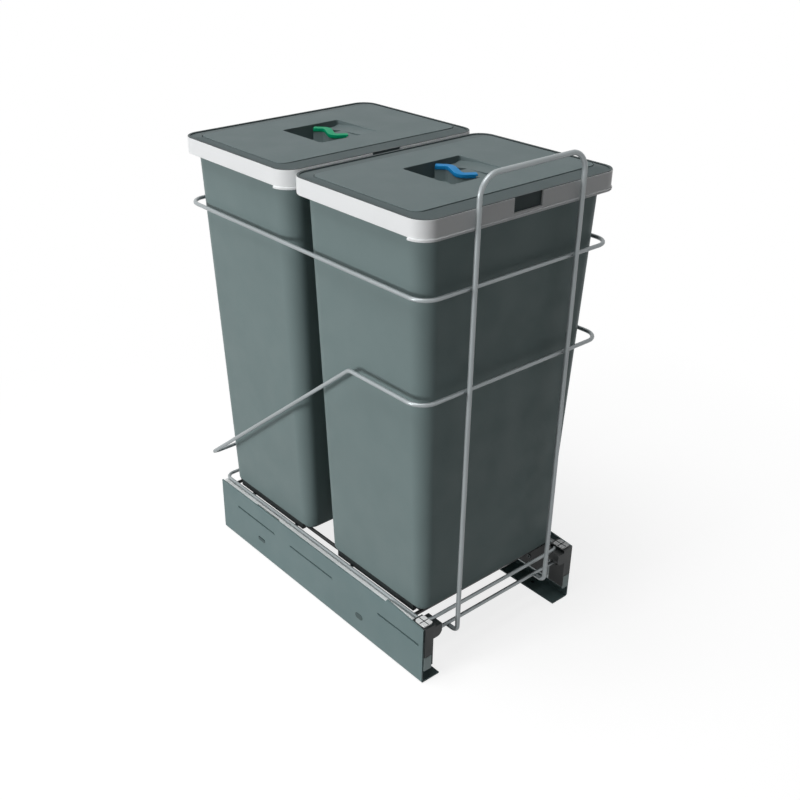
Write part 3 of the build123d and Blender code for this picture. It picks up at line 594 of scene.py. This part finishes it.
ring_plastic = finish("ring_plastic", shade(240, 242, 243), 0.0, (0.36, 0.48), (900.0, 0.00005),
                      drift=0.02, dusty=0.03, shine=0.3)
BAND = ((152.9, 112.3, 22.5, 583), (152.9, 112.3, 22.5, 603), (150.5, 109.9, 20.1, 603),
        (150.5, 109.9, 20.1, 586), (137.4, 96.8, 18.5, 586), (137.4, 96.8, 18.5, 574),
        (139, 98.4, 20.1, 574), (139, 98.4, 20.1, 584), (150.5, 109.9, 20.1, 584),
        (150.5, 109.9, 20.1, 583))
NOTCH_HALF, NOTCH_FRONT, NOTCH_REAR = 22, 118, 109
NOTCH_BOTTOM, NOTCH_TOP = 586, 606
LEDGE_HALF, LEDGE_FRONT, LEDGE_END, LEDGE_BEND = 152.3, 111.7, 89.8, 21.9
LEDGE_WIDTH, LEDGE_BOTTOM, LEDGE_TOP = 3.6, 580.2, 583.2
for bin_name, centre_y in BINS:
    band = moulding(bin_name + "_bag_band", BAND, centre_y, closed=True)
    cut(band, (-NOTCH_HALF, centre_y - NOTCH_FRONT, NOTCH_BOTTOM),
        (NOTCH_HALF, centre_y - NOTCH_REAR, NOTCH_TOP))
    soften(band, 0.5, 2)
    fit(band, bin_name + "_ring", ring_plastic, "ring_plastic", bin_name + "_bag_ring")
    ledge_corners = [(-LEDGE_HALF, centre_y - LEDGE_END, 0), (-LEDGE_HALF, centre_y - LEDGE_FRONT, 0),
                     (LEDGE_HALF, centre_y - LEDGE_FRONT, 0), (LEDGE_HALF, centre_y - LEDGE_END, 0)]
    ledge = ribbon(bin_name + "_bag_ledge", bends(ledge_corners, [0, LEDGE_BEND, LEDGE_BEND, 0]),
                   LEDGE_WIDTH, LEDGE_BOTTOM, LEDGE_TOP)
    soften(ledge, 0.9)
    fit(ledge, bin_name + "_ring", ring_plastic, "ring_plastic")

# Lids
# Grey lids that drop inside the rings: a raised panel in a sloping rim, the rim darker as painted
# shade, with a thin lip over the band whose dark colour is painted shade for the gap along the
# ring, and a square hollow with a ramp for the thumb and an S-shaped grip, lighter as painted
# light. The grip's cap is green on the rear lid, blue in front.
lid_plastic = finish("lid_plastic", shade(107, 120, 121), 0.0, (0.5, 0.56), (1000.0, 0.00008),
                     drift=0.01, dusty=0.01, shine=0.08)
# A darker copy of the lid plastic for the sloping rim: painted shade for the slope.
rim_painted_shade = finish("rim_painted_shade", shade(88, 99, 100), 0.0, (0.5, 0.56), (1000.0, 0.00008),
                     drift=0.01, dusty=0.01, shine=0.08)
# Dark lip colour: the lip over the band is real, its dark is painted shade for the gap at the ring.
lip_painted_gap_shade = finish("lip_painted_gap_shade", shade(74, 83, 84), 0.0, (0.5, 0.62), (1000.0, 0.00008),
                    drift=0.03, dusty=0.02, shine=0.15)
# A lighter copy of the lid plastic for the S-shaped grip: painted light on its wall in the hollow.
grip_painted_light = finish("grip_painted_light", shade(140, 154, 155), 0.0, (0.5, 0.56), (1000.0, 0.00008),
                      drift=0.01, dusty=0.01, shine=0.1)
marker_green = finish("marker_green", shade(0, 154, 106), 0.0, (0.42, 0.54), (700.0, 0.00004),
                      drift=0.02, dusty=0.0, shine=0.1)
marker_blue = finish("marker_blue", shade(30, 134, 196), 0.0, (0.42, 0.54), (700.0, 0.00004),
                     drift=0.02, dusty=0.0, shine=0.1)
MARKERS = {"front": ("marker_blue", marker_blue), "rear": ("marker_green", marker_green)}
PANEL = ((47, 43, 5, 583.5), (47, 43, 5, 603.3), (140, 88, 12, 603.3), (140, 88, 12, 605.5),
         (45, 41, 3, 605.5), (45, 41, 3, 585.5))
RIM = ((139, 87, 11, 601.4), (139, 87, 11, 603.3), (141, 89, 13, 603.3), (141, 89, 13, 604.9),
       (150, 109.4, 19.6, 602.2), (150, 109.4, 19.6, 586), (148, 107.4, 17.6, 586),
       (148, 107.4, 17.6, 600.2))
LIP = ((149.3, 108.7, 18.9, 601.8), (149.9, 109.3, 19.5, 601.8), (149.9, 109.3, 19.5, 603.1),
       (152.5, 111.9, 22.1, 603.1), (152.5, 111.9, 22.1, 603.7), (149.3, 108.7, 18.9, 603.7))
HOLLOW_FLOOR = 584.5
RAMP_INNER, RAMP_MIDDLE, RAMP_OUTER = 22.05, 38, 45.5
RAMP = ((-41.5, (604.4, 604.9, 605.3)), (8, (601, 601.4, 603.6)), (41.5, (597, 597.2, 599.5)))
STEP_LEFT, STEP_RIGHT, STEP_FRONT, STEP_REAR, STEP_TOP = 8.1, 22.5, -41.5, 4.1, 601.5
GRIP = ((0.9, 35.3), (12.6, 22.1), (-4.05, -10.3), (12.6, -21.3))
GRIP_BEND, GRIP_WIDTH, CAP_WIDTH = 9, 8.0, 9.4
GRIP_TOP, CAP_TOP = 598.8, 603.3
for bin_name, centre_y in BINS:
    panel = moulding(bin_name + "_lid_panel", PANEL, centre_y)
    soften(panel, 0.6)
    fit(panel, bin_name + "_cover", lid_plastic, "lid_plastic", bin_name + "_lid")
    rim = moulding(bin_name + "_lid_rim", RIM, centre_y, closed=True)
    soften(rim, 0.4, 2)
    fit(rim, bin_name + "_cover", rim_painted_shade, "lid_plastic")
    lip = moulding(bin_name + "_lid_lip", LIP, centre_y, closed=True)
    soften(lip, 0.2, 2)
    fit(lip, bin_name + "_cover", lip_painted_gap_shade, "lid_plastic")
    ramp_rings = [[(RAMP_INNER, centre_y + y, HOLLOW_FLOOR), (RAMP_OUTER, centre_y + y, HOLLOW_FLOOR),
                   (RAMP_OUTER, centre_y + y, outer), (RAMP_MIDDLE, centre_y + y, middle_level),
                   (RAMP_INNER, centre_y + y, inner)] for y, (inner, middle_level, outer) in RAMP]
    ramp = skin(bin_name + "_lid_ramp", ramp_rings)
    soften(ramp, 0.5)
    fit(ramp, bin_name + "_cover", lid_plastic, "lid_plastic")
    step = block(bin_name + "_lid_step", (STEP_LEFT, centre_y + STEP_FRONT, HOLLOW_FLOOR),
                 (STEP_RIGHT, centre_y + STEP_REAR, STEP_TOP))
    soften(step, 0.5)
    fit(step, bin_name + "_cover", lid_plastic, "lid_plastic")
    grip_path = bends([(x, centre_y + y, 0) for x, y in GRIP], [0, GRIP_BEND, GRIP_BEND, 0])
    grip = ribbon(bin_name + "_lid_grip", grip_path, GRIP_WIDTH, HOLLOW_FLOOR, GRIP_TOP)
    soften(grip, 0.5)
    fit(grip, bin_name + "_cover", grip_painted_light, "lid_plastic")
    slot_name, colour = MARKERS[bin_name]
    cap = ribbon(bin_name + "_marker_cap", grip_path, CAP_WIDTH, GRIP_TOP, CAP_TOP)
    soften(cap, 0.5)
    fit(cap, bin_name + "_cover", colour, slot_name, bin_name + "_lid_marker")

# Studio
# The unit stands on a white sweep that the camera sees as plain white with a faint shadow. A low
# lamp on the left lights the sides, a large soft one hangs overhead, and the front gets only a fill.


def white_for_camera(tree, seen, unseen, output):
    """Joins two shaders: one for the camera, gloss and glass, and one that lights the unit."""
    path = tree.nodes.new("ShaderNodeLightPath")
    choice = tree.nodes.new("ShaderNodeMixShader")
    seen_by = calculate(tree, "MAXIMUM", path.outputs["Is Camera Ray"], path.outputs["Is Glossy Ray"])
    seen_by = calculate(tree, "MAXIMUM", seen_by, path.outputs["Is Transmission Ray"])
    tree.links.new(seen_by, choice.inputs["Fac"])
    tree.links.new(unseen.outputs[0], choice.inputs[1])
    tree.links.new(seen.outputs[0], choice.inputs[2])
    tree.links.new(choice.outputs[0], output.inputs["Surface"])


def grey(value):
    """A neutral colour."""
    return (value, value, value, 1)


# Metres and linear values from here on
SHADOW_NEAR, SHADOW_FAR = 0.35, 0.95
FLOOR_HALF, FLOOR_DROP = 4, 0.0005
floor_material = bpy.data.materials.new("floor_white")
floor_material.use_nodes = True
floor_tree = floor_material.node_tree
floor_diffuse = floor_tree.nodes["Principled BSDF"]
floor_diffuse.inputs["Base Color"].default_value = grey(0.26)
floor_diffuse.inputs["Roughness"].default_value = 0.9
plain_glow = floor_tree.nodes.new("ShaderNodeEmission")
weak_glow = floor_tree.nodes.new("ShaderNodeEmission")
weak_glow.inputs["Strength"].default_value = 0.82
shaded = floor_tree.nodes.new("ShaderNodeBsdfDiffuse")
shaded.inputs["Color"].default_value = grey(0.3)
with_shadow = floor_tree.nodes.new("ShaderNodeAddShader")
floor_tree.links.new(weak_glow.outputs[0], with_shadow.inputs[0])
floor_tree.links.new(shaded.outputs[0], with_shadow.inputs[1])
spot = floor_tree.nodes.new("ShaderNodeTexCoord")
distance = floor_tree.nodes.new("ShaderNodeVectorMath")
distance.operation = "LENGTH"
floor_tree.links.new(spot.outputs["Object"], distance.inputs[0])
away = ranged(floor_tree, distance.outputs["Value"], SHADOW_NEAR, SHADOW_FAR, 0.0, 1.0)
floor_seen = floor_tree.nodes.new("ShaderNodeMixShader")
floor_tree.links.new(away, floor_seen.inputs["Fac"])
floor_tree.links.new(with_shadow.outputs[0], floor_seen.inputs[1])
floor_tree.links.new(plain_glow.outputs[0], floor_seen.inputs[2])
white_for_camera(floor_tree, floor_seen, floor_diffuse, floor_tree.nodes["Material Output"])
floor_mesh = bpy.data.meshes.new("floor")
floor_corners = [(x * FLOOR_HALF, y * FLOOR_HALF, -FLOOR_DROP)
                 for x, y in ((-1, -1), (1, -1), (1, 1), (-1, 1))]
floor_mesh.from_pydata(floor_corners, [], [(0, 1, 2, 3)])
floor_mesh.materials.append(floor_material)
floor = bpy.data.objects.new("floor", floor_mesh)
bpy.context.scene.collection.objects.link(floor)

world = bpy.data.worlds.new("studio")
bpy.context.scene.world = world
world.use_nodes = True
sky = world.node_tree
fill = sky.nodes["Background"]
fill.inputs["Color"].default_value = grey(1)
fill.inputs["Strength"].default_value = 0.055
seen_white = sky.nodes.new("ShaderNodeBackground")
seen_white.inputs["Color"].default_value = grey(1)
seen_white.inputs["Strength"].default_value = 1.0
white_for_camera(sky, seen_white, fill, sky.nodes["World Output"])


def lamp(name, place, target, size, power):
    """A square soft lamp aimed at a point."""
    light = bpy.data.lights.new(name, "AREA")
    light.size = size
    light.energy = power
    holder = bpy.data.objects.new(name, light)
    holder.location = place
    holder.rotation_mode = "QUATERNION"
    holder.rotation_quaternion = (Vector(target) - Vector(place)).to_track_quat("-Z", "Y")
    bpy.context.scene.collection.objects.link(holder)


lamp("key", (-3.1, 0.3, 0.8), (0, 0, 0.35), size=0.7, power=50)
lamp("top", (-0.9, 0.2, 3.3), (0, 0, 0.5), size=2.0, power=64)
lamp("front_fill", (0.8, -3.0, 1.2), (0, 0, 0.3), size=1.6, power=1)

# Camera
# It looks down on the unit from the front left, at the photograph's angle and with its
# perspective; the shifts put the unit where it stands in the picture.
TILT_DOWN, TURN_RIGHT = 28.8, 39.69
camera_data = bpy.data.cameras.new("camera")
camera = bpy.data.objects.new("camera", camera_data)
bpy.context.scene.collection.objects.link(camera)
camera_data.sensor_width = 36.0
camera_data.lens = 47.28
camera_data.shift_x = 0.0402
camera_data.shift_y = 0.0201
camera.location = (-0.82736, -0.94994, 0.93312)
camera.rotation_mode = "XYZ"
camera.rotation_euler = (math.radians(90 - TILT_DOWN), 0, math.radians(-TURN_RIGHT))
bpy.context.scene.camera = camera
bpy.context.scene.view_settings.view_transform = "Standard"
